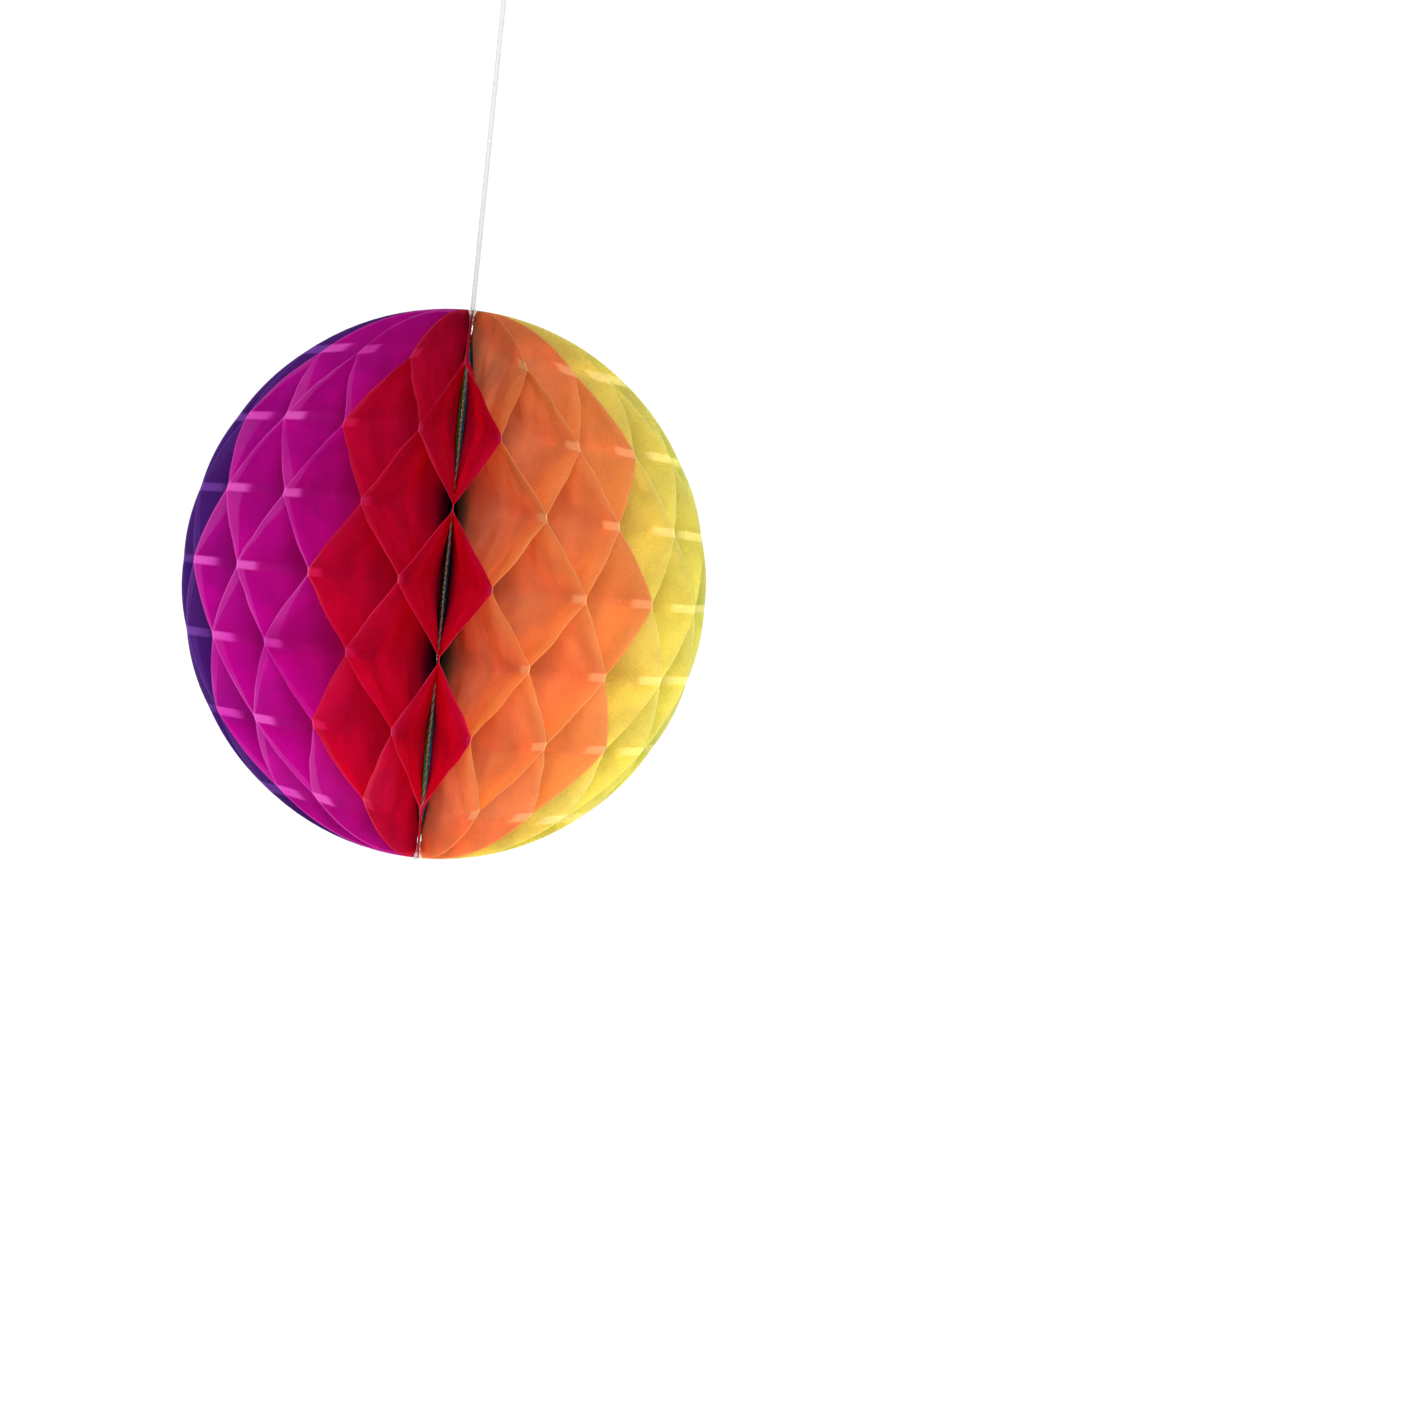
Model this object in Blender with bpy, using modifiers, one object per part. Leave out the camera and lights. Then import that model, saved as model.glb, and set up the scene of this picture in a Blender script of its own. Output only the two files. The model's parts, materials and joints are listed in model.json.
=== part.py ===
"""Paper honeycomb ball, hung by its string.

The ball is a fan of half-disc tissue leaves that are folded about an upright spine of twine.
Each leaf zigzags between two flat planes that stand on the spine, and neighbouring leaves meet
on those planes in glue lines, at odd places on one plane and at even places on the next. Two
half-disc covers of card close the fan, back to back, with tape between them.

Metres, +Z up. The origin is where a hook bears on the hanging loop, at the underside of its top,
and the ball hangs below it. The covers meet on the ball's +Y side, and the leaves are numbered
from there, anticlockwise from above.
"""

import math

import bmesh
import bpy
from mathutils import Matrix, Vector
from mathutils.geometry import interpolate_bezier

# The ball
POLE_RADIUS = 0.100
EQUATOR_RADIUS = 0.095
GAP = 0.0003

# Leaves of tissue, in blocks of one colour
LEAF_BLOCKS = ("green", "teal", "purple", "magenta", "red", "orange", "yellow", "green", "teal")
LEAVES_PER_BLOCK = 4
LEAF_COUNT = len(LEAF_BLOCKS) * LEAVES_PER_BLOCK
FAN_STEP = 2 * math.pi / LEAF_COUNT
LEAF_THICKNESS = 0.0002
SPINE_RADIUS = 0.003
GLUE_ROWS = 3  # on each side of the equator
SPINE_PITCH = 0.030  # between glue lines, along the spine
RIM_PITCH = 0.0262  # between glue lines, along the axis, at the ball's surface
CAP_ROWS = 3  # between the last glue line and the pole
DIMPLE_RADIUS = 0.006  # of the hollow at each pole that a knot sits in
DIMPLE_DEPTH = 0.004
COLUMNS = (0.0, 0.06, 0.5, 1.0)  # from the spine to the rim

# Covers of card, and the tape between them
COVER_THICKNESS = 0.00035
COVER_SPACING = 0.0002  # from the seam to a cover's outer face
COVER_SPINE_RADIUS = 0.008  # clears the other cover when the fan is folded
COVER_ARC_POINTS = 33
TAPE_SIZE = (0.00012, 0.012, 0.040)
TAPE_RADIUS = 0.070
TAPE_HEIGHT = 0.030

# Twine, knots, string and loop
TWINE_RADIUS = 0.001
KNOT_RADIUS = 0.0024
KNOT_HEIGHT = 0.0975  # of a pole's knot, from the ball's centre
STRING_RADIUS = 0.0009
STRING_LENGTH = 0.116
STRING_POINTS = 24
LOOP_LENGTH = 0.036
LOOP_RADIUS = 0.005
LOOP_FOOT = 0.0011  # from the axis to each strand, at the loop's knot
LOOP_HANDLE = 0.013
LOOP_STRAND_POINTS = 10
LOOP_ARC_STEPS = 8

# Heights, from the loop's top down
LOOP_TOP_Z = STRING_RADIUS
LOOP_FOOT_Z = LOOP_TOP_Z - LOOP_LENGTH
LOOP_KNOT_Z = LOOP_FOOT_Z - GAP - KNOT_RADIUS
STRING_TOP_Z = LOOP_KNOT_Z - KNOT_RADIUS - GAP
STRING_BOTTOM_Z = STRING_TOP_Z - STRING_LENGTH
TOP_KNOT_Z = STRING_BOTTOM_Z - GAP - KNOT_RADIUS
BALL_Z = TOP_KNOT_Z - KNOT_HEIGHT

# Colour, roughness
FINISHES = {
    "green": ((0.12, 0.42, 0.05), 0.85),
    "teal": ((0.01, 0.16, 0.38), 0.85),
    "purple": ((0.06, 0.01, 0.30), 0.85),
    "magenta": ((0.48, 0.00, 0.22), 0.85),
    "red": ((0.44, 0.00, 0.02), 0.85),
    "orange": ((0.80, 0.15, 0.04), 0.85),
    "yellow": ((0.90, 0.68, 0.06), 0.85),
    "card": ((0.85, 0.84, 0.80), 0.75),
    "tape": ((0.80, 0.78, 0.68), 0.40),
    "twine": ((0.70, 0.25, 0.25), 0.90),
    "string": ((0.90, 0.89, 0.86), 0.90),
}


def clear_scene():
    for thing in list(bpy.data.objects):
        bpy.data.objects.remove(thing, do_unlink=True)


def make_collection():
    collection = bpy.data.collections.new("paper_honeycomb_ball")
    bpy.context.scene.collection.children.link(collection)
    return collection


def make_material(name):
    colour, roughness = FINISHES[name]
    material = bpy.data.materials.new(name)
    material.use_nodes = True
    shader = material.node_tree.nodes["Principled BSDF"]
    shader.inputs["Base Color"].default_value = (*colour, 1.0)
    shader.inputs["Roughness"].default_value = roughness
    shader.inputs["Metallic"].default_value = 0.0
    return material


def add_object(name, data, parent, finish=None):
    """Adds an object, or an empty where data is None, with its finish, under its parent."""
    thing = bpy.data.objects.new(name, data)
    thing.parent = parent
    COLLECTION.objects.link(thing)
    if finish:
        data.materials.append(MATERIALS[finish])
    return thing


def smooth(mesh):
    mesh.shade_smooth()
    mesh.set_sharp_from_angle(angle=math.radians(40))


def rim_radius(height):
    """The ball's radius at a height above its centre."""
    return EQUATOR_RADIUS * math.sqrt(1 - (height / POLE_RADIUS) ** 2)


def height_at(radius):
    """The height above the ball's centre where its surface has a radius."""
    return POLE_RADIUS * math.sqrt(1 - (radius / EQUATOR_RADIUS) ** 2)


def leaf_rows():
    """Each row of a leaf, bottom to top: its height at the spine, at the rim, and its swing.

    The swing is the leaf's place between its two planes: 1 on the first plane and -1 on the
    second at the glue lines, and 0, midway, at the poles.
    """
    rows = [(n * SPINE_PITCH, n * RIM_PITCH, (-1) ** n) for n in range(-GLUE_ROWS, GLUE_ROWS + 1)]
    last_spine, last_rim, last_swing = rows[-1]
    low = math.asin(last_rim / POLE_RADIUS)
    high = math.asin(height_at(DIMPLE_RADIUS) / POLE_RADIUS)
    cap = []
    for step in range(1, CAP_ROWS + 1):
        share = step / CAP_ROWS
        spine = last_spine + share * (POLE_RADIUS - DIMPLE_DEPTH - last_spine)
        rim = POLE_RADIUS * math.sin(low + share * (high - low))
        cap.append((spine, rim, last_swing * (1 - share)))
    foot = [(-spine, -rim, swing) for spine, rim, swing in reversed(cap)]
    return foot + rows + cap


def plane_clearance(number, side, column):
    """From a glue plane to a leaf's middle. Beside a cover it clears the card too."""
    beside_cover = (number == 1 and side < 0) or (number == LEAF_COUNT and side > 0)
    if beside_cover and column > 0:
        return COVER_SPACING + COVER_THICKNESS + GAP + LEAF_THICKNESS / 2
    return (LEAF_THICKNESS + GAP) / 2


def leaf_point(number, row, column):
    """A point of a leaf that lies along +X, before it is turned to its place in the fan."""
    spine_height, rim_height, swing = row
    side = swing if number % 2 == 0 else -swing
    reach = COLUMNS[column]
    radius = SPINE_RADIUS + reach * (rim_radius(rim_height) - SPINE_RADIUS)
    height = spine_height + reach * (rim_height - spine_height)
    angle = side * FAN_STEP / 2
    inset = side * plane_clearance(number, side, column)
    along = radius * math.cos(angle) + inset * math.sin(angle)
    across = radius * math.sin(angle) - inset * math.cos(angle)
    return Vector((along, across, height))


def add_leaf(number, parent):
    colour = LEAF_BLOCKS[(number - 1) // LEAVES_PER_BLOCK]
    rows = leaf_rows()
    bm = bmesh.new()
    columns = len(COLUMNS) - 1
    bmesh.ops.create_grid(bm, x_segments=columns, y_segments=len(rows) - 1, size=1)
    for vert in bm.verts:
        column = round((vert.co.x + 1) / 2 * columns)
        row = rows[round((vert.co.y + 1) / 2 * (len(rows) - 1))]
        vert.co = leaf_point(number, row, column)
    bmesh.ops.triangulate(bm, faces=bm.faces)
    place = math.pi / 2 + (number - 0.5) * FAN_STEP
    bmesh.ops.rotate(bm, verts=bm.verts, matrix=Matrix.Rotation(place, 3, "Z"))
    name = f"leaf_{number:02d}_{colour}"
    mesh = bpy.data.meshes.new(name)
    bm.to_mesh(mesh)
    bm.free()
    leaf = add_object(name, mesh, parent, colour)
    shell = leaf.modifiers.new("paper", "SOLIDIFY")
    shell.thickness = LEAF_THICKNESS
    shell.offset = 0
    return leaf


def add_cover(name, side, parent):
    """A half disc of card that stands on the seam, its flat side along the spine."""
    top = math.asin(height_at(COVER_SPINE_RADIUS) / POLE_RADIUS)
    curve = bpy.data.curves.new(name, "CURVE")
    curve.dimensions = "2D"
    curve.fill_mode = "BOTH"
    curve.extrude = COVER_THICKNESS / 2
    spline = curve.splines.new("POLY")
    spline.points.add(COVER_ARC_POINTS - 1)
    spline.use_cyclic_u = True
    for step, point in enumerate(spline.points):
        latitude = top * (2 * step / (COVER_ARC_POINTS - 1) - 1)
        across = EQUATOR_RADIUS * math.cos(latitude)
        point.co = (across, POLE_RADIUS * math.sin(latitude), 0, 1)
    cover = add_object(name, curve, parent, "card")
    cover.rotation_euler = (math.pi / 2, 0, math.pi / 2)
    cover.location.x = side * (COVER_SPACING + COVER_THICKNESS / 2)
    return cover


def add_tape(name, height, parent):
    """A flat strip on the seam, between the covers."""
    bm = bmesh.new()
    bmesh.ops.create_cube(bm, size=1)
    bmesh.ops.scale(bm, verts=bm.verts, vec=TAPE_SIZE)
    mesh = bpy.data.meshes.new(name)
    bm.to_mesh(mesh)
    bm.free()
    tape = add_object(name, mesh, parent, "tape")
    tape.location = (0, TAPE_RADIUS, height)
    return tape


def add_knot(name, height, parent, finish):
    bm = bmesh.new()
    bmesh.ops.create_uvsphere(bm, u_segments=12, v_segments=8, radius=KNOT_RADIUS)
    mesh = bpy.data.meshes.new(name)
    bm.to_mesh(mesh)
    bm.free()
    smooth(mesh)
    knot = add_object(name, mesh, parent, finish)
    knot.location.z = height
    return knot


def add_cord(name, points, radius, parent, finish):
    curve = bpy.data.curves.new(name, "CURVE")
    curve.dimensions = "3D"
    curve.bevel_depth = radius
    curve.bevel_resolution = 2
    curve.use_fill_caps = True
    spline = curve.splines.new("POLY")
    spline.points.add(len(points) - 1)
    for target, point in zip(spline.points, points):
        target.co = (*point, 1)
    return add_object(name, curve, parent, finish)


def upright_points(low, high, count):
    return [Vector((0, 0, low + (high - low) * n / (count - 1))) for n in range(count)]


def loop_points():
    """Up one strand, over the round top and down the other strand."""
    foot = Vector((LOOP_FOOT, 0, LOOP_FOOT_Z))
    shoulder = Vector((LOOP_RADIUS, 0, LOOP_TOP_Z - LOOP_RADIUS))
    handle = Vector((0, 0, LOOP_HANDLE))
    strand = interpolate_bezier(foot, foot + handle, shoulder - handle, shoulder, LOOP_STRAND_POINTS)
    arc = []
    for step in range(1, LOOP_ARC_STEPS):
        angle = math.pi * step / LOOP_ARC_STEPS
        arc.append(shoulder + LOOP_RADIUS * Vector((math.cos(angle) - 1, 0, math.sin(angle))))
    other = [Vector((-point.x, 0, point.z)) for point in reversed(strand)]
    return strand + arc + other


def build_hanger():
    """The part that stays where it is held: the loop, its knot and the string."""
    add_cord("hanging_loop", loop_points(), STRING_RADIUS, None, "string")
    add_knot("loop_knot", LOOP_KNOT_Z, None, "string")
    string = upright_points(STRING_BOTTOM_Z, STRING_TOP_Z, STRING_POINTS)
    add_cord("hanging_string", string, STRING_RADIUS, None, "string")


def build_ball():
    """The ball swings about its top knot, and its leaves and one cover turn about its spine."""
    swing_pivot = add_object("swing_pivot", None, None)
    swing_pivot.location.z = TOP_KNOT_Z
    fan_axis = add_object("fan_axis", None, swing_pivot)
    fan_axis.location.z = -KNOT_HEIGHT
    twine_end = KNOT_HEIGHT - KNOT_RADIUS - GAP
    twine = upright_points(-twine_end, twine_end, 2)
    add_cord("spine_twine", twine, TWINE_RADIUS, fan_axis, "twine")
    add_knot("top_knot", KNOT_HEIGHT, fan_axis, "string")
    add_knot("bottom_knot", -KNOT_HEIGHT, fan_axis, "string")
    add_cover("first_cover", -1, fan_axis)
    add_cover("last_cover", 1, fan_axis)
    add_tape("upper_tape", TAPE_HEIGHT, fan_axis)
    add_tape("lower_tape", -TAPE_HEIGHT, fan_axis)
    for number in range(1, LEAF_COUNT + 1):
        add_leaf(number, fan_axis)


clear_scene()
COLLECTION = make_collection()
MATERIALS = {name: make_material(name) for name in FINISHES}
build_hanger()
build_ball()
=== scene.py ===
import json
import math

import bpy
import numpy as np
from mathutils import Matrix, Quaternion, Vector


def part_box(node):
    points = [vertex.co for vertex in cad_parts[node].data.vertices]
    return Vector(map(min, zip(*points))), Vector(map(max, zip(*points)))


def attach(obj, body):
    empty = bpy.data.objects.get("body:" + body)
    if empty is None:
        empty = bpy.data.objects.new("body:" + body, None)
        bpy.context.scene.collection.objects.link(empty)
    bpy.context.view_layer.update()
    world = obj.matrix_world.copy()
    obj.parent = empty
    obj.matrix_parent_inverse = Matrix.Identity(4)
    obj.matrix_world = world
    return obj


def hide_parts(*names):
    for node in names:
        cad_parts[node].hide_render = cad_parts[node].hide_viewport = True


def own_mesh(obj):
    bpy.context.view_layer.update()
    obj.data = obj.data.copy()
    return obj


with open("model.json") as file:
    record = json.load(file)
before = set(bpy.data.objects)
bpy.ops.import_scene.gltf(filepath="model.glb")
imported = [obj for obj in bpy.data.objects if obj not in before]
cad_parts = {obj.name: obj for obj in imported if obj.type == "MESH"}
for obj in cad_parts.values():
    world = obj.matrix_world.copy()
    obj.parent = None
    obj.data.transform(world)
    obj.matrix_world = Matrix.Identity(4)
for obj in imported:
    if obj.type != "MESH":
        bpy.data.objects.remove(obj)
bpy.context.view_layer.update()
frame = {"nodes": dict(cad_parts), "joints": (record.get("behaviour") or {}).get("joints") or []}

# Places, from the frame
JOINTS = {joint["name"]: joint for joint in frame["joints"]}
BALL_CENTRE = Vector(JOINTS["fan_fold"]["pos_m"])
TOP_KNOT = Vector(JOINTS["ball_swing"]["pos_m"])
BOTTOM_KNOT = 2 * BALL_CENTRE - TOP_KNOT
LOOP_KNOT = sum(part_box("loop_knot"), Vector()) / 2
LEAF_NODES = sorted(node for node in frame["nodes"] if node.startswith("leaf_"))
LEAF_COUNT = len(LEAF_NODES)
FAN_STEP = 2 * math.pi / LEAF_COUNT

# The ball, as in the frame's own leaves
EQUATOR_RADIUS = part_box("first_cover")[1].y
POLE_RADIUS = 0.100
SPINE_RADIUS = 0.0008
GLUE_ROWS = 3
SPINE_PITCH = 0.030
RIM_PITCH = 0.0262
DIMPLE_RADIUS = 0.006
DIMPLE_DEPTH = 0.004
COVER_CLEARANCE = 0.00095
COVER_SHARE = 0.75  # most of a leaf's width that this takes, near the spine

# The leaves' finer shape
PAPER = 0.00006
GLUE_GAP = 0.00006
LAND = 0.042  # share of a panel that is glued flat, at each end
PANEL_STEPS = 12
CAP_STEPS = 11
REACH_STEPS = 30
REACH_POWER = 1.25  # above 1, points lie closer together towards the rim
EDGE_REACHES = (0.985, 0.993)  # of extra points, just inside the cut edge
LAND_MARGIN = 0.03  # share of a panel between a land and the row that holds it flat
FREE_RAMP = 0.2  # share of a panel over which the waves grow, from a land
INNER_BOW = 0.012
BOW_SPREAD = (0.85, 1.0)
HELD_LEAVES = 6  # beside each cover, whose bow grows from none to whole
KNOT_ROOM = 0.0021  # that the leaves leave round the knots
KNOT_RAMP = 0.1  # share of the glue lines' pitch over which they make that room
INNER_EASE = 0.6  # share of the way to the rim in which the cells narrow towards their glue lines
INNER_SHADE = 0.38  # painted shade: share of the tissue's colour kept along the fold by the spine
LIP_HIGHLIGHT_WIDTH = 0.0008  # of the painted highlight in the paler outer band, where it is narrowest
FACET = 0.22
FACET_SHARE = 0.85
FACET_BLUR = 0.04  # softens the bends between facets
FACET_FADE = 0.25  # share of the way to the rim in which the facets come in
FIRST_FACET = (0.08, 0.30)  # range of the outermost facet's depth, as a share of FACET
CAP_SWING = 0.45  # power of the curve that a cap swings in on
CAP_LIP_HIGHLIGHT = 0.2  # of a painted lip highlight's width in other panels
HEIGHT_JITTER = 0.0004
HEIGHT_LIMIT = 0.0016
ANGLE_JITTER = math.radians(0.5)
ANGLE_LIMIT = 0.016
WRINKLE = 0.00012
WAVES = 7
WAVE_LENGTHS = (0.008, 0.030)
WAVE_START = 0.15  # share of the way to the rim where the waves begin
WAVE_RAMP = 0.25
CAP_WRINKLE = 0.3  # share of it beyond the last glue line, where the leaves are close together

# Twine, string and loop
STRING_RADIUS = 0.0009
STRING_POINTS = 24
STRING_PITCH = 0.0042
LOOP_RADIUS = 0.005
LOOP_FOOT = 0.0011
LOOP_HANDLE = 0.013
LOOP_POINTS = 16
KNOT_HALF_HEIGHT = 0.0028
KNOT_COIL_RADIUS = 0.00155
KNOT_PITCH = 0.004
KNOT_TURNS = 2.6
KNOT_POINTS = 90
TWINE_RADIUS = 0.0004
TWINE_PITCH = 0.0035
CORD_STEPS = 12  # in each turn of its plies
PLY_SHARES = {2: 0.50, 3: 0.57}  # a ply's radius as a share of its cord's, for each count of plies

# The camera
LENS = 100
CAMERA_DISTANCE = 1.44
CAMERA_AZIMUTH = math.radians(10)
CAMERA_ROLL = math.radians(5.8)
BALL_IN_VIEW = (-0.1866, 0.0884)  # from the middle of the frame, as shares of its width

# The light
STUDIO_LIGHT = 0.33
BACKDROP_WHITE = 1.05
LAMP_SIZE = 0.9
BACK_LAMP = (-0.35, 1.97, 0.30)
BACK_POWER = 12
KEY_LAMP = (0.35, -1.97, 0.30)
KEY_POWER = 30.5
LIGHT_BOUNCES = 24
FLOOR_GLOW = 0.90
FLOOR_RADIUS = 12
FLOOR_DEPTH = 1.5  # below the ball's centre

random = np.random.default_rng(7)


# ---------------------------------------------------------------- camera, light and stage


def make_camera():
    """Looks at the ball from the front, a little to its right, and holds it left of the middle."""
    data = bpy.data.cameras.new("camera")
    data.lens = LENS
    data.clip_start = 0.01
    data.clip_end = 50
    camera = bpy.data.objects.new("camera", data)
    bpy.context.scene.collection.objects.link(camera)
    back = Vector((math.sin(CAMERA_AZIMUTH), -math.cos(CAMERA_AZIMUTH), 0))
    camera.location = BALL_CENTRE + CAMERA_DISTANCE * back
    size = data.sensor_width / data.lens
    to_ball = Vector((BALL_IN_VIEW[0] * size, BALL_IN_VIEW[1] * size, -1)).normalized()
    look = (-back).to_track_quat("-Z", "Y")
    roll = Quaternion((0, 0, 1), CAMERA_ROLL)
    aside = to_ball.rotation_difference(Vector((0, 0, -1)))
    camera.rotation_mode = "QUATERNION"
    camera.rotation_quaternion = look @ roll @ aside
    bpy.context.scene.camera = camera


def add_area_light(name, place, power):
    data = bpy.data.lights.new(name, "AREA")
    data.shape = "DISK"
    data.size = LAMP_SIZE
    data.energy = power
    light = bpy.data.objects.new(name, data)
    bpy.context.scene.collection.objects.link(light)
    light.location = BALL_CENTRE + Vector(place)
    light.visible_camera = False
    light.rotation_mode = "QUATERNION"
    light.rotation_quaternion = (-Vector(place)).to_track_quat("-Z", "Y")


def light_scene():
    world = bpy.data.worlds.new("studio")
    world.use_nodes = True
    background = world.node_tree.nodes["Background"]
    background.inputs["Color"].default_value = (1, 1, 1, 1)
    is_seen = world.node_tree.nodes.new("ShaderNodeLightPath").outputs["Is Camera Ray"]
    strength = world.node_tree.nodes.new("ShaderNodeMapRange")
    strength.inputs["To Min"].default_value = STUDIO_LIGHT
    strength.inputs["To Max"].default_value = BACKDROP_WHITE
    world.node_tree.links.new(is_seen, strength.inputs["Value"])
    world.node_tree.links.new(strength.outputs["Result"], background.inputs["Strength"])
    bpy.context.scene.world = world
    bpy.context.scene.view_settings.view_transform = "Standard"
    cycles = bpy.context.scene.cycles
    cycles.max_bounces = LIGHT_BOUNCES
    cycles.diffuse_bounces = LIGHT_BOUNCES // 2
    cycles.transmission_bounces = LIGHT_BOUNCES
    add_area_light("back_light", BACK_LAMP, BACK_POWER)
    add_area_light("key_light", KEY_LAMP, KEY_POWER)


def make_floor():
    """A plain white floor, well below the hanging ball."""
    bpy.ops.mesh.primitive_circle_add(vertices=96, radius=FLOOR_RADIUS, fill_type="NGON")
    floor = bpy.context.object
    floor.name = "floor"
    floor.location = BALL_CENTRE - Vector((0, 0, FLOOR_DEPTH))
    material = bpy.data.materials.new("floor")
    material.use_nodes = True
    shader = material.node_tree.nodes["Principled BSDF"]
    shader.inputs["Base Color"].default_value = (0.8, 0.8, 0.8, 1)
    shader.inputs["Roughness"].default_value = 0.9
    shader.inputs["Emission Color"].default_value = (1, 1, 1, 1)
    shader.inputs["Emission Strength"].default_value = FLOOR_GLOW
    shader.inputs["Specular IOR Level"].default_value = 0.0
    floor.data.materials.append(material)


# ---------------------------------------------------------------- materials


class Nodes:
    """A material's node tree, with short calls for the nodes used here."""

    def __init__(self, name):
        self.material = bpy.data.materials.new(name)
        self.material.use_nodes = True
        self.tree = self.material.node_tree
        self.tree.nodes.clear()
        self.output = self.tree.nodes.new("ShaderNodeOutputMaterial")

    def add(self, kind, inputs=None, **settings):
        node = self.tree.nodes.new("ShaderNode" + kind)
        for key, value in settings.items():
            setattr(node, key, value)
        for key, value in (inputs or {}).items():
            self.plug(node.inputs[key], value)
        return node

    def plug(self, socket, value):
        if isinstance(value, bpy.types.NodeSocket):
            self.tree.links.new(value, socket)
        else:
            socket.default_value = value

    def attribute(self, name):
        return self.add("Attribute", attribute_name=name).outputs["Fac"]

    def place(self):
        return self.add("TexCoord").outputs["Object"]

    def noise(self, scale, detail=3.0, rough=0.5, vector=None):
        inputs = {"Vector": vector or self.place(), "Scale": scale, "Detail": detail, "Roughness": rough}
        return self.add("TexNoise", inputs).outputs["Fac"]

    def remap(self, value, low, high, to_low=0.0, to_high=1.0):
        inputs = {"Value": value, "From Min": low, "From Max": high, "To Min": to_low, "To Max": to_high}
        return self.add("MapRange", inputs, interpolation_type="SMOOTHSTEP").outputs["Result"]

    def math(self, operation, a, b):
        node = self.add("Math", operation=operation)
        self.plug(node.inputs[0], a)
        self.plug(node.inputs[1], b)
        return node.outputs[0]

    def mix(self, share, a, b, blend="MIX"):
        node = self.add("Mix", data_type="RGBA", blend_type=blend)
        self.plug(node.inputs[0], share)
        self.plug(node.inputs[6], a)
        self.plug(node.inputs[7], b)
        return node.outputs[2]

    def bump(self, height, distance, strength=1.0):
        inputs = {"Height": height, "Distance": distance, "Strength": strength}
        return self.add("Bump", inputs).outputs["Normal"]

    def surface(self, socket):
        self.tree.links.new(socket, self.output.inputs["Surface"])
        return self.material


# Each tissue's colour near the rim; a brighter colour deep between the leaves, painted light that offsets the
# shade there; and a paler colour at its cut edge, for the painted highlights there and for the glued tabs
TISSUES = {
    "green": ((0.43, 0.86, 0.09), (0.45, 0.86, 0.12), (0.58, 0.90, 0.28)),
    "teal": ((0.01, 0.50, 0.86), (0.01, 0.54, 0.88), (0.15, 0.62, 0.92)),
    "purple": ((0.18, 0.035, 0.40), (0.26, 0.06, 0.50), (0.31, 0.13, 0.56)),
    "magenta": ((0.77, 0.002, 0.55), (0.88, 0.006, 0.60), (0.92, 0.20, 0.78)),
    "red": ((0.84, 0.001, 0.13), (0.97, 0.004, 0.20), (0.92, 0.11, 0.24)),
    "orange": ((0.978, 0.55, 0.225), (0.998, 0.76, 0.46), (0.985, 0.60, 0.29)),
    "yellow": ((0.965, 0.905, 0.31), (0.99, 0.96, 0.43), (0.985, 0.95, 0.46)),
}
# How pale the glued tabs are
TABS = {"green": 0.3, "teal": 0.3, "purple": 0.25, "magenta": 0.7, "red": 0.12, "orange": 0.12, "yellow": 0.2}


def tissue_material(colour):
    """Thin dyed tissue: mottled, finely creased, paler where two leaves are glued, with painted highlights at
    its cut edge and in lips beside it.

    It is darker along the fold by the spine: painted shade, deep in the cells.
    """
    near_rim, deep, edge = [(*value, 1) for value in TISSUES[colour]]
    n = Nodes(f"tissue_{colour}")
    patches = n.noise(26, 2)
    mottle = n.remap(n.noise(70, 3), 0.3, 0.7, 0.93, 1.04)
    fibre = n.remap(n.noise(1400, 2), 0.3, 0.7, 0.95, 1.05)
    rim = n.attribute("rim")
    # painted shade: the colour darkens over the innermost part of each leaf, towards the spine
    painted_fold_shade = n.remap(rim, 0.072, 0.090, 1.0, INNER_SHADE)
    tone = n.math("MULTIPLY", n.math("MULTIPLY", mottle, fibre), painted_fold_shade)
    glue = n.attribute("glue")
    uneven = n.remap(patches, 0.38, 0.62, 0.35, 1.0)
    # painted highlight: a thin paler line along the cut edge
    cut = n.math("MULTIPLY", n.remap(rim, 0.0003, 0.0011, 0.75, 0.0), uneven)
    # painted highlight: a paler lip inside the cut edge, wide at one end of the panel and narrow at the other
    across_lip_highlight = n.math("DIVIDE", rim, n.attribute("lip"))
    lip = n.math("MULTIPLY", n.remap(across_lip_highlight, 0.85, 1.15, 0.36, 0.0), uneven)
    outer = n.remap(rim, 0.006, 0.011, 1.0, 0.06)
    tab = n.math("MULTIPLY", n.math("MULTIPLY", glue, outer), n.math("MULTIPLY", uneven, TABS[colour]))
    # paler: the painted highlights at the cut edge and lips, and the glued tabs
    pale = n.math("MAXIMUM", n.math("MAXIMUM", cut, lip), tab)
    # painted light: the colour turns brighter away from the rim, deep between the leaves, against the shade
    # there
    ground_with_painted_depth_light = n.mix(n.remap(rim, 0.006, 0.050), near_rim, deep)
    toned = n.mix(1.0, ground_with_painted_depth_light, n.add("CombineColor", {0: tone, 1: tone, 2: tone}).outputs[0], "MULTIPLY")
    colour_lit = n.mix(pale, toned, edge)
    colour_through = n.mix(n.math("MULTIPLY", pale, 0.6), toned, edge)
    creases = n.math("ADD", n.noise(160, 4, 0.6), n.math("MULTIPLY", n.noise(900, 2), 0.25))
    normal = n.bump(creases, 0.0006, 0.5)
    front = n.add("BsdfPrincipled", {
        "Base Color": colour_lit,
        "Roughness": n.remap(patches, 0.3, 0.7, 0.7, 0.8),
        "Specular IOR Level": 0.25,
        "Normal": normal,
    })
    behind = n.add("BsdfTranslucent", {"Color": colour_through, "Normal": normal})
    share = n.remap(n.math("MULTIPLY", glue, outer), 0.0, 1.0, 0.72, 0.35)
    both = n.add("MixShader", {0: share, 1: front.outputs[0], 2: behind.outputs[0]})
    return n.surface(both.outputs[0])


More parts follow.
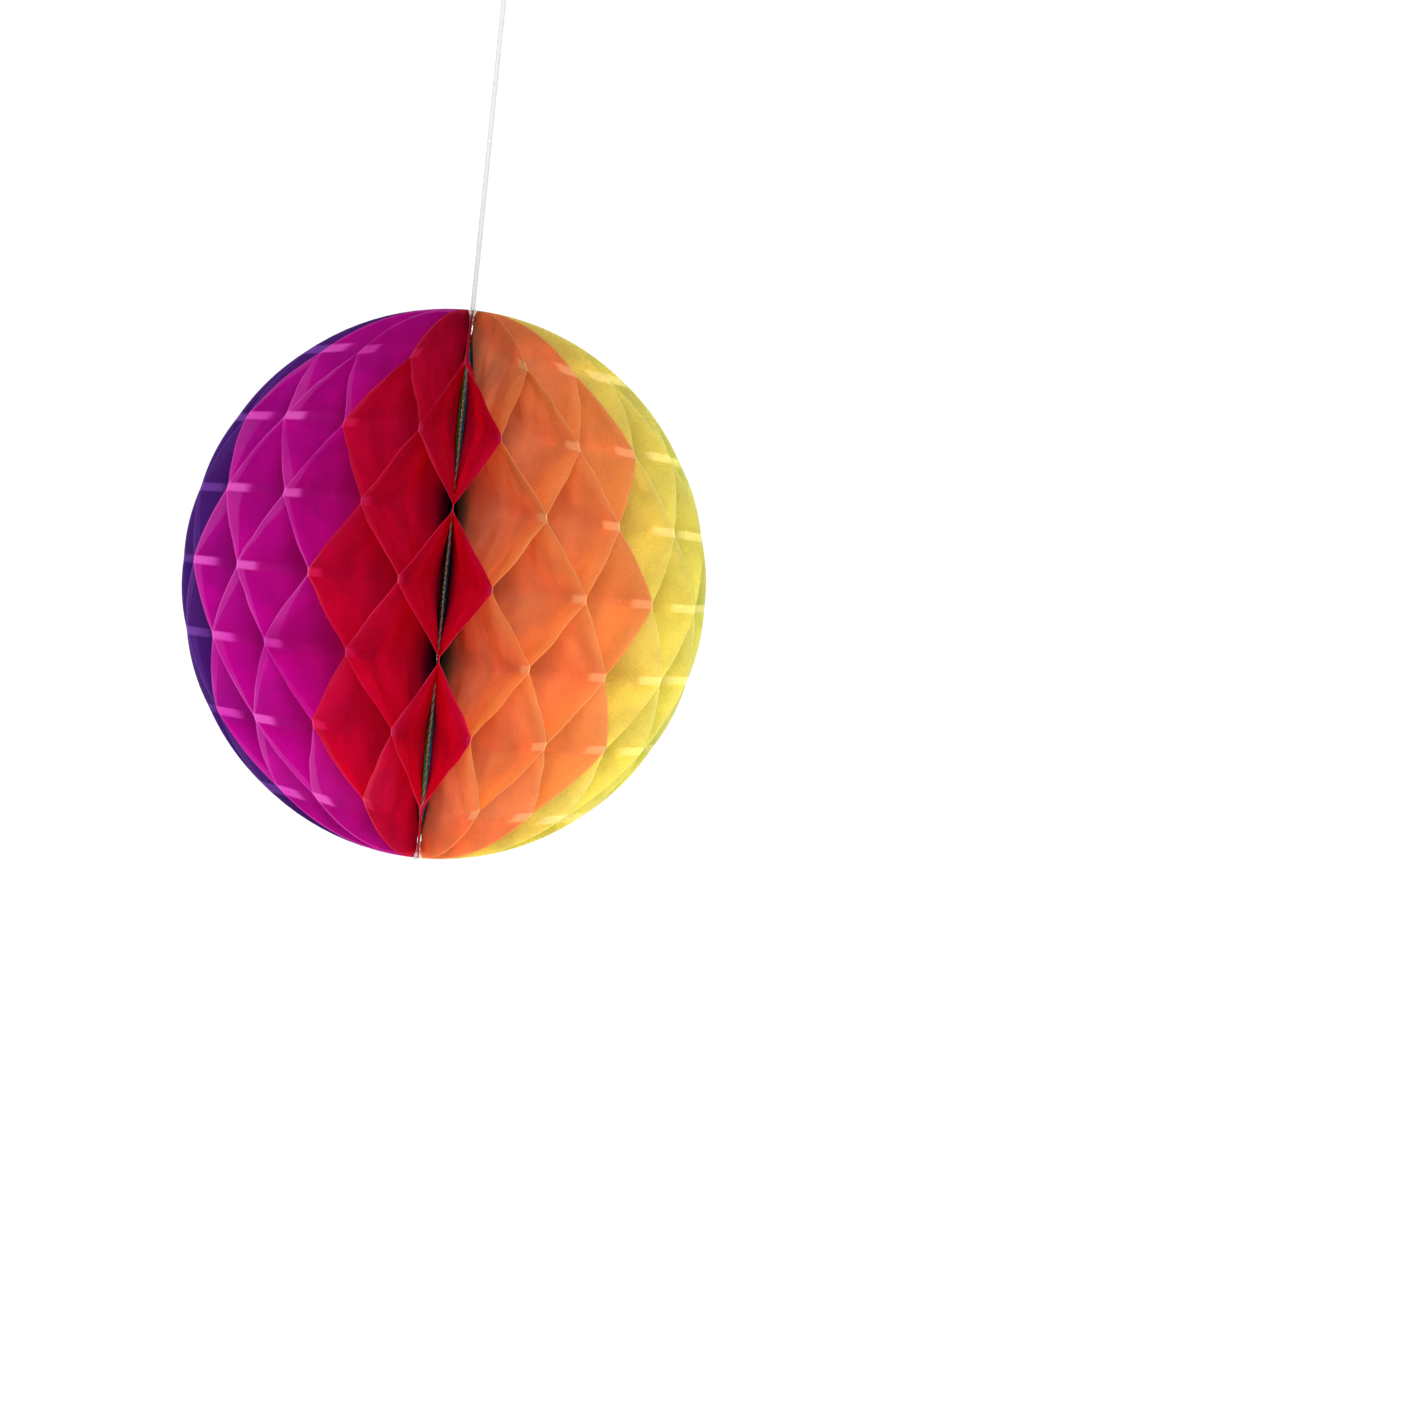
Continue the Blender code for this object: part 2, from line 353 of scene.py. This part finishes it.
def card_material():
    n = Nodes("card")
    grain = n.remap(n.noise(500, 4, 0.6), 0.3, 0.7, 0.0, 1.0)
    colour = n.mix(grain, (0.80, 0.78, 0.73, 1), (0.88, 0.87, 0.83, 1))
    shader = n.add("BsdfPrincipled", {
        "Base Color": colour,
        "Roughness": n.remap(n.noise(200, 2), 0.3, 0.7, 0.7, 0.85),
        "Specular IOR Level": 0.3,
        "Normal": n.bump(n.noise(900, 3), 0.0001, 0.4),
    })
    return n.surface(shader.outputs[0])


def tape_material():
    n = Nodes("tape")
    cloudy = n.remap(n.noise(300, 3), 0.3, 0.7)
    colour = n.mix(cloudy, (0.78, 0.76, 0.66, 1), (0.86, 0.84, 0.76, 1))
    shader = n.add("BsdfPrincipled", {
        "Base Color": colour,
        "Roughness": n.remap(n.noise(120, 2), 0.3, 0.7, 0.3, 0.5),
        "Normal": n.bump(n.noise(400, 2), 0.00005, 0.4),
    })
    return n.surface(shader.outputs[0])


def cotton_material(name, dark, light):
    """Spun cotton: fine fibres and slight soiling."""
    n = Nodes(name)
    fibre = n.noise(2500, 3, 0.7)
    colour = n.mix(n.remap(fibre, 0.3, 0.7), (*dark, 1), (*light, 1))
    shader = n.add("BsdfPrincipled", {
        "Base Color": colour,
        "Roughness": n.remap(n.noise(700, 2), 0.3, 0.7, 0.8, 0.95),
        "Specular IOR Level": 0.2,
        "Sheen Weight": 0.3,
        "Normal": n.bump(fibre, 0.00015, 0.6),
    })
    return n.surface(shader.outputs[0])


# ---------------------------------------------------------------- meshes


def add_mesh(name, points, faces, materials, face_material=None):
    mesh = bpy.data.meshes.new(name)
    mesh.from_pydata([tuple(point) for point in points], [], faces)
    for material in materials:
        mesh.materials.append(material)
    if face_material is not None:
        mesh.polygons.foreach_set("material_index", face_material)
    mesh.shade_smooth()
    thing = bpy.data.objects.new(name, mesh)
    bpy.context.scene.collection.objects.link(thing)
    return thing


def path_frames(path):
    """Each point's direction and two sideways directions, which don't twist along the path."""
    path = np.asarray(path, float)
    along = np.gradient(path, axis=0)
    along /= np.linalg.norm(along, axis=1)[:, None]
    start = np.array((1.0, 0, 0)) if abs(along[0][0]) < 0.9 else np.array((0, 1.0, 0))
    sides = []
    side = start
    for direction in along:
        side = side - direction * (side @ direction)
        side = side / np.linalg.norm(side)
        sides.append(side)
    sides = np.array(sides)
    return along, sides, np.cross(along, sides)


def resample(path, step):
    path = np.asarray(path, float)
    lengths = np.linalg.norm(np.diff(path, axis=0), axis=1)
    marks = np.concatenate(([0], np.cumsum(lengths)))
    count = max(2, int(round(marks[-1] / step)) + 1)
    at = np.linspace(0, marks[-1], count)
    return np.stack([np.interp(at, marks, path[:, axis]) for axis in range(3)], axis=1)


def tube(path, radius, sides=8):
    """Points and faces of a closed round tube."""
    along, across, up = path_frames(path)
    points = []
    faces = []
    rings = len(path)
    for ring in range(rings):
        for side in range(sides):
            angle = 2 * math.pi * side / sides
            offset = math.cos(angle) * across[ring] + math.sin(angle) * up[ring]
            points.append(path[ring] + radius * offset)
    for ring in range(rings - 1):
        for side in range(sides):
            near = ring * sides
            beside = (side + 1) % sides
            faces.append((near + side, near + beside, near + sides + beside, near + sides + side))
    last = (rings - 1) * sides
    points += [path[0], path[-1]]
    for side in range(sides):
        beside = (side + 1) % sides
        faces.append((rings * sides, beside, side))
        faces.append((rings * sides + 1, last + side, last + beside))
    return points, faces


def twisted_cord(name, path, radius, plies, pitch, materials):
    """A cord of plies that wind round its path, each ply with the next of the materials."""
    path = resample(path, pitch / CORD_STEPS)
    along, across, up = path_frames(path)
    marks = np.concatenate(([0], np.cumsum(np.linalg.norm(np.diff(path, axis=0), axis=1))))
    ply_radius = radius * PLY_SHARES[plies]
    points, faces, face_material = [], [], []
    for ply in range(plies):
        angle = 2 * math.pi * (marks / pitch + ply / plies)
        offset = np.cos(angle)[:, None] * across + np.sin(angle)[:, None] * up
        strand = path + (radius - ply_radius) * offset
        more_points, more_faces = tube(strand, ply_radius)
        faces += [tuple(len(points) + corner for corner in face) for face in more_faces]
        face_material += [ply % len(materials)] * len(more_faces)
        points += list(more_points)
    return add_mesh(name, points, faces, materials, face_material)


# ---------------------------------------------------------------- string, loop, knots and twine


def string_route():
    """The string's route in the frame, bottom to top."""
    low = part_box("hanging_string")[0].z
    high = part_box("hanging_string")[1].z
    return [Vector((0, 0, low + (high - low) * step / (STRING_POINTS - 1))) for step in range(STRING_POINTS)]


def loop_route():
    """Up one strand of the loop, over the round top and down the other."""
    low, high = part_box("hanging_loop")
    top = high.z - STRING_RADIUS
    foot = Vector((LOOP_FOOT, 0, low.z))
    shoulder = Vector((LOOP_RADIUS, 0, top - LOOP_RADIUS))
    handle = Vector((0, 0, LOOP_HANDLE))
    strand = bezier(foot, foot + handle, shoulder - handle, shoulder, LOOP_POINTS)
    arc = []
    for step in range(1, LOOP_POINTS):
        angle = math.pi * step / LOOP_POINTS
        arc.append(shoulder + LOOP_RADIUS * Vector((math.cos(angle) - 1, 0, math.sin(angle))))
    other = [Vector((-point.x, 0, point.z)) for point in reversed(strand)]
    return strand + arc + other


def bezier(a, b, c, d, count):
    points = []
    for step in range(count):
        t = step / (count - 1)
        points.append((1 - t) ** 3 * a + 3 * t * (1 - t) ** 2 * b + 3 * t * t * (1 - t) * c + t**3 * d)
    return points


def knot_route(centre):
    """A tight tied lump: the cord winds round itself from the top of the knot to its foot."""
    points = []
    for step in range(KNOT_POINTS + 1):
        t = step / KNOT_POINTS
        swell = math.sin(math.pi * t) ** 0.45
        angle = 2 * math.pi * KNOT_TURNS * t
        radius = KNOT_COIL_RADIUS * swell
        points.append(centre + Vector((
            radius * math.cos(angle),
            radius * math.sin(angle),
            KNOT_HALF_HEIGHT * (1 - 2 * t),
        )))
    return points


def tied_knot(name, centre, cotton):
    return twisted_cord(name, knot_route(centre), STRING_RADIUS, 3, KNOT_PITCH, [cotton])


def make_string(cotton):
    knot = tied_knot("tied_loop_knot", LOOP_KNOT, cotton)
    loop = twisted_cord("cotton_loop", loop_route(), STRING_RADIUS, 3, STRING_PITCH, [cotton])
    route = string_route()
    string = twisted_cord("cotton_string", route, STRING_RADIUS, 3, STRING_PITCH, [cotton])
    for piece, node in ((knot, "loop_knot"), (loop, "hanging_loop"), (string, "hanging_string")):
        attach(piece, "hanger")
        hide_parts(node)


def make_spine(cotton, red_cotton, shaded_white_cotton):
    low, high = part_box("spine_twine")
    route = [Vector((0, 0, low.z)), Vector((0, 0, high.z))]
    # painted shade: both plies are darkened, as the twine lies deep in the cells
    twine = twisted_cord("twisted_twine", route, TWINE_RADIUS, 2, TWINE_PITCH, [red_cotton, shaded_white_cotton])
    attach(twine, "spine")
    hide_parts("spine_twine")
    for name, node, centre in (
        ("tied_top_knot", "top_knot", TOP_KNOT),
        ("tied_bottom_knot", "bottom_knot", BOTTOM_KNOT),
    ):
        knot = tied_knot(name, centre, cotton)
        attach(knot, "spine")
        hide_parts(node)


# ---------------------------------------------------------------- leaves


def rim_radius(height):
    """The ball's radius at a height above its centre."""
    return EQUATOR_RADIUS * np.sqrt(np.maximum(0, 1 - (height / POLE_RADIUS) ** 2))


def height_at(radius):
    """The height above the ball's centre where its surface has a radius."""
    return POLE_RADIUS * math.sqrt(1 - (radius / EQUATOR_RADIUS) ** 2)


# How far each glue line is from its regular place: its height at the rim, and its angle
GLUE_LINES = (LEAF_COUNT + 1, 2 * GLUE_ROWS + 1)
PLANE_HEIGHTS = random.normal(0, HEIGHT_JITTER, GLUE_LINES).clip(-HEIGHT_LIMIT, HEIGHT_LIMIT)
PLANE_ANGLES = random.normal(0, ANGLE_JITTER, GLUE_LINES).clip(-ANGLE_LIMIT, ANGLE_LIMIT)
PLANE_ANGLES[[0, -1]] = 0


def glue_line(number, row):
    """Where a leaf's glue line is: its side, height at the spine, height at the rim, angle and plane."""
    side = (1 if row % 2 == 0 else -1) * (1 if number % 2 == 0 else -1)
    plane = number if side > 0 else number - 1
    index = row + GLUE_ROWS
    rim = row * RIM_PITCH + PLANE_HEIGHTS[plane, index]
    return side, row * SPINE_PITCH, rim, side * FAN_STEP / 2 + PLANE_ANGLES[plane, index], plane


def pole_line(up):
    """A leaf's end at a pole, midway between its planes."""
    high = height_at(DIMPLE_RADIUS)
    return 0, up * (POLE_RADIUS - DIMPLE_DEPTH), up * high, 0.0, None


def line_points(line, reach):
    """Points of a line of the leaf that runs from the spine to the rim, at each reach from 0 to 1."""
    side, spine_height, rim_height, angle, plane = line
    radius = SPINE_RADIUS + reach * (rim_radius(rim_height) - SPINE_RADIUS)
    height = spine_height + reach * (rim_height - spine_height)
    clearance = (PAPER + GLUE_GAP) / 2
    if plane in (0, LEAF_COUNT):
        clearance = np.minimum(COVER_CLEARANCE, COVER_SHARE * radius * FAN_STEP)
    inset = side * clearance
    along = radius * math.cos(angle) + inset * math.sin(angle)
    across = radius * math.sin(angle) - inset * math.cos(angle)
    return np.stack([along, across, height], axis=-1)


def facet_reaches(share, reach, first):
    """Reaches on a panel's two lines whose joining ruling passes through (share, reach).

    A sheet can't stretch into the smooth twist between two skewed lines, so it settles in long
    triangles that meet in soft slanting bends. first is how deep the outermost one is.
    """
    nodes = [1.0, 1.0, 1 - FACET * first]
    while nodes[-1] > -1:
        nodes.append(nodes[-1] - FACET)
    near, far = reach.copy(), reach.copy()
    done = np.zeros_like(reach, bool)
    for index in range(len(nodes) - 2):
        apex, low = nodes[index + 1], nodes[index + 2]
        apex_near = index % 2 == 0
        along = share if apex_near else 1 - share
        inside = ~done & (reach >= (1 - along) * apex + along * low - 1e-9)
        moving = (reach - (1 - along) * apex) / np.maximum(along, 1e-6)
        moving = np.where(along > 1e-6, moving, apex)
        near = np.where(inside, apex if apex_near else moving, near)
        far = np.where(inside, moving if apex_near else apex, far)
        done |= inside
    return near, far


def column_reaches():
    """The reaches of a leaf's points, from 0 at the spine to 1 at the rim."""
    reach = 1 - (1 - np.linspace(0, 1, REACH_STEPS + 1)) ** REACH_POWER
    return np.sort(np.unique(np.concatenate([reach, EDGE_REACHES])))


def make_leaf(node, material):
    number = int(node.split("_")[1])
    lines = [pole_line(-1)]
    lines += [glue_line(number, row) for row in range(-GLUE_ROWS, GLUE_ROWS + 1)]
    lines += [pole_line(1)]
    reach = column_reaches()
    rows, glue, free, lip = [], [], [], []
    for index in range(len(lines) - 1):
        low, high = lines[index], lines[index + 1]
        cap = index in (0, len(lines) - 2)
        t = panel_rows(cap, index == 0)
        swing = panel_swing(t, index == 0, index == len(lines) - 2)
        first = random.uniform(*FIRST_FACET)
        flip = random.random() < 0.5
        block = panel_points(low, high, t, swing, reach, first, flip, cap)
        at_low = (t <= LAND + 1e-6) & (index > 0)
        at_high = (t >= 1 - LAND - 1e-6) & (index < len(lines) - 2)
        block_glue = (at_low | at_high).astype(float)
        block_free = np.clip((np.minimum(t, 1 - t) - LAND) / FREE_RAMP, 0, 1) ** 1.5
        if cap:
            block_free *= CAP_WRINKLE * (swing if index else 1 - swing)
        # width of the painted lip highlight, wide where the outermost facet is deep
        wide = CAP_LIP_HIGHLIGHT * (1 - swing) if cap else (1 - swing if flip else swing)
        block_lip_highlight = LIP_HIGHLIGHT_WIDTH + first * FACET * EQUATOR_RADIUS * wide
        start = 0 if index == 0 else 1
        rows.append(block[start:])
        glue.append(block_glue[start:])
        free.append(block_free[start:])
        lip.append(block_lip_highlight[start:])
    grid, glue, free, lip = (np.concatenate(parts) for parts in (rows, glue, free, lip))
    grid = round_rim(grid, reach)
    grid = bow_inner_edge(number, grid, reach)
    grid = wrinkle(grid, free, reach)
    leaf_object(node, number, grid, glue, lip, material)


def panel_rows(cap, from_pole):
    """Row places in a panel, 0 to 1, closer together at the glue lands."""
    if not cap:
        inner = np.linspace(LAND, 1 - LAND, PANEL_STEPS + 1)
        beside_lands = [LAND + LAND_MARGIN, 1 - LAND - LAND_MARGIN]
        return np.sort(np.concatenate([[0, 1], inner, beside_lands]))
    t = np.linspace(0, 1, CAP_STEPS + 1)
    t = np.concatenate([[0, LAND, LAND + LAND_MARGIN], t[2:]])
    return np.sort(1 - t) if from_pole else t


def panel_swing(t, from_pole, to_pole):
    """Share of the way across from the panel's first line to its second."""
    if from_pole:
        return 1 - panel_swing(1 - t, False, True)
    if to_pole:
        s = np.clip((t - LAND) / (1 - LAND), 0, 1)
        return 1 - (1 - s) ** CAP_SWING
    return np.clip((t - LAND) / (1 - 2 * LAND), 0, 1)


def panel_points(low, high, t, swing, reach, first, flip, cap):
    """Points of the panel between two lines: a row at each t, with a point at each reach."""
    t_grid, reach_grid = np.meshgrid(t, reach, indexing="ij")
    eased = swing if cap else swing**2 * (3 - 2 * swing)
    inner = np.clip(1 - reach / INNER_EASE, 0, 1)
    swing_grid = swing[:, None] + (eased - swing)[:, None] * inner[None, :]
    near = line_points(low, reach_grid)
    far = line_points(high, reach_grid)
    height = (1 - t_grid) * near[..., 2] + t_grid * far[..., 2]
    plain = (1 - swing_grid)[..., None] * near + swing_grid[..., None] * far
    plain[..., 2] = height
    if cap:
        return curve_cap(low, high, t_grid, reach_grid, plain)
    share = np.zeros_like(plain)
    for shift in (-FACET_BLUR, 0, FACET_BLUR):
        if flip:
            f, n = facet_reaches(1 - swing_grid, reach_grid, first + shift)
        else:
            n, f = facet_reaches(swing_grid, reach_grid, first + shift)
        share += (1 - swing_grid)[..., None] * line_points(low, n)
        share += swing_grid[..., None] * line_points(high, f)
    away = share[..., 1] / 3 - plain[..., 1]
    plain[..., 1] += FACET_SHARE * np.clip(reach_grid / FACET_FADE, 0, 1) * away
    between = np.sort(np.stack([near[..., 1], far[..., 1]]), axis=0)
    plain[..., 1] = np.clip(plain[..., 1], between[0], between[1])
    return plain


def curve_cap(low, high, t, reach, plain):
    """Between the last glue line and the pole, the rim's height follows the ball's round."""
    start, end = (low[2], high[2])
    latitude = np.arcsin(start / POLE_RADIUS) * (1 - t) + np.arcsin(end / POLE_RADIUS) * t
    rim = POLE_RADIUS * np.sin(latitude)
    spine = low[1] * (1 - t) + high[1] * t
    plain[..., 2] = spine + reach * (rim - spine)
    return plain


def round_rim(grid, reach):
    """Brings each row's outer end onto the ball's round outline."""
    radius = np.hypot(grid[..., 0], grid[..., 1])
    wanted = rim_radius(grid[:, -1, 2])
    stretch = wanted / radius[:, -1]
    scale = 1 + (stretch[:, None] - 1) * reach[None, :]
    grid[..., 0] *= scale
    grid[..., 1] *= scale
    return grid


def bow_inner_edge(number, grid, reach):
    """The leaf's inner edge stands off the spine between stitches, which are at every other glue line.

    The leaves beside the covers are held closer. Past the last glue line, all leave room for a knot.
    """
    rows = grid[:, 0, 2] / SPINE_PITCH
    from_cover = min(number - 0.5, LEAF_COUNT + 0.5 - number)
    hold = min(1, from_cover / HELD_LEAVES)
    bow = INNER_BOW * hold * random.uniform(*BOW_SPREAD) * abs(np.cos(math.pi / 2 * rows))
    past_last_line = np.clip((abs(rows) - GLUE_ROWS) / KNOT_RAMP, 0, 1)
    bow = np.where(abs(rows) > GLUE_ROWS, KNOT_ROOM * past_last_line, bow)
    radius = np.hypot(grid[..., 0], grid[..., 1])
    scale = 1 + bow[:, None] * (1 - reach[None, :]) ** 3 / radius
    grid[..., 0] *= scale
    grid[..., 1] *= scale
    return grid


def wrinkle(grid, free, reach):
    """Small random waves across the sheet, which is flat at the glue lands and near the spine."""
    height = grid[..., 2]
    radius = np.hypot(grid[..., 0], grid[..., 1])
    wave = np.zeros_like(height)
    for _ in range(WAVES):
        length = random.uniform(*WAVE_LENGTHS)
        heading = random.uniform(0, 2 * math.pi)
        phase = random.uniform(0, 2 * math.pi)
        along = height * math.cos(heading) + radius * math.sin(heading)
        wave += np.sin(along * 2 * math.pi / length + phase)
    fade = np.clip((reach - WAVE_START) / WAVE_RAMP, 0, 1)
    grid[..., 1] += WRINKLE * wave * free[:, None] * fade[None, :]
    return grid


def leaf_object(node, number, grid, glue, lip, material):
    place = math.pi / 2 + (number - 0.5) * FAN_STEP
    turned = grid.copy()
    turned[..., 0] = grid[..., 0] * math.cos(place) - grid[..., 1] * math.sin(place)
    turned[..., 1] = grid[..., 0] * math.sin(place) + grid[..., 1] * math.cos(place)
    turned[..., 2] += BALL_CENTRE.z
    rows, columns = grid.shape[:2]
    faces = []
    for row in range(rows - 1):
        for column in range(columns - 1):
            corner = row * columns + column
            faces.append((corner, corner + 1, corner + columns + 1, corner + columns))
    leaf = add_mesh(f"tissue_{node}", turned.reshape(-1, 3), faces, [material])
    radius = np.hypot(grid[..., 0], grid[..., 1])
    rim = radius[:, -1:] - radius
    # distance in from the rim, the glue lands, and the width of the painted lip highlight
    for name, values in (("rim", rim), ("glue", glue[:, None]), ("lip", lip[:, None])):
        attribute = leaf.data.attributes.new(name, "FLOAT", "POINT")
        attribute.data.foreach_set("value", np.broadcast_to(values, rim.shape).astype(np.float32).ravel())
    shell = leaf.modifiers.new("paper", "SOLIDIFY")
    shell.thickness = PAPER
    shell.offset = 0
    body = "_".join(node.split("_")[:2])
    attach(leaf, body)
    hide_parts(node)
    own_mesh(leaf)


def dress_cad_nodes(card, tape):
    for node, material in (
        ("first_cover", card),
        ("last_cover", card),
        ("upper_tape", tape),
        ("lower_tape", tape),
    ):
        materials = frame["nodes"][node].data.materials
        materials.clear()
        materials.append(material)


make_camera()
white_cotton = cotton_material("white_cotton", (0.58, 0.57, 0.54), (0.80, 0.79, 0.77))
# painted shade: the twine's red and white plies get dark colours, for the shade deep in the cells where they
# lie
red_cotton = cotton_material("red_cotton", (0.22, 0.01, 0.015), (0.36, 0.02, 0.03))
shaded_white_cotton = cotton_material("shaded_white_cotton", (0.20, 0.18, 0.15), (0.32, 0.29, 0.25))
make_string(white_cotton)
make_spine(white_cotton, red_cotton, shaded_white_cotton)
tissues = {colour: tissue_material(colour) for colour in TISSUES}
for leaf_node in LEAF_NODES:
    make_leaf(leaf_node, tissues[leaf_node.split("_")[2]])
dress_cad_nodes(card_material(), tape_material())
light_scene()
make_floor()
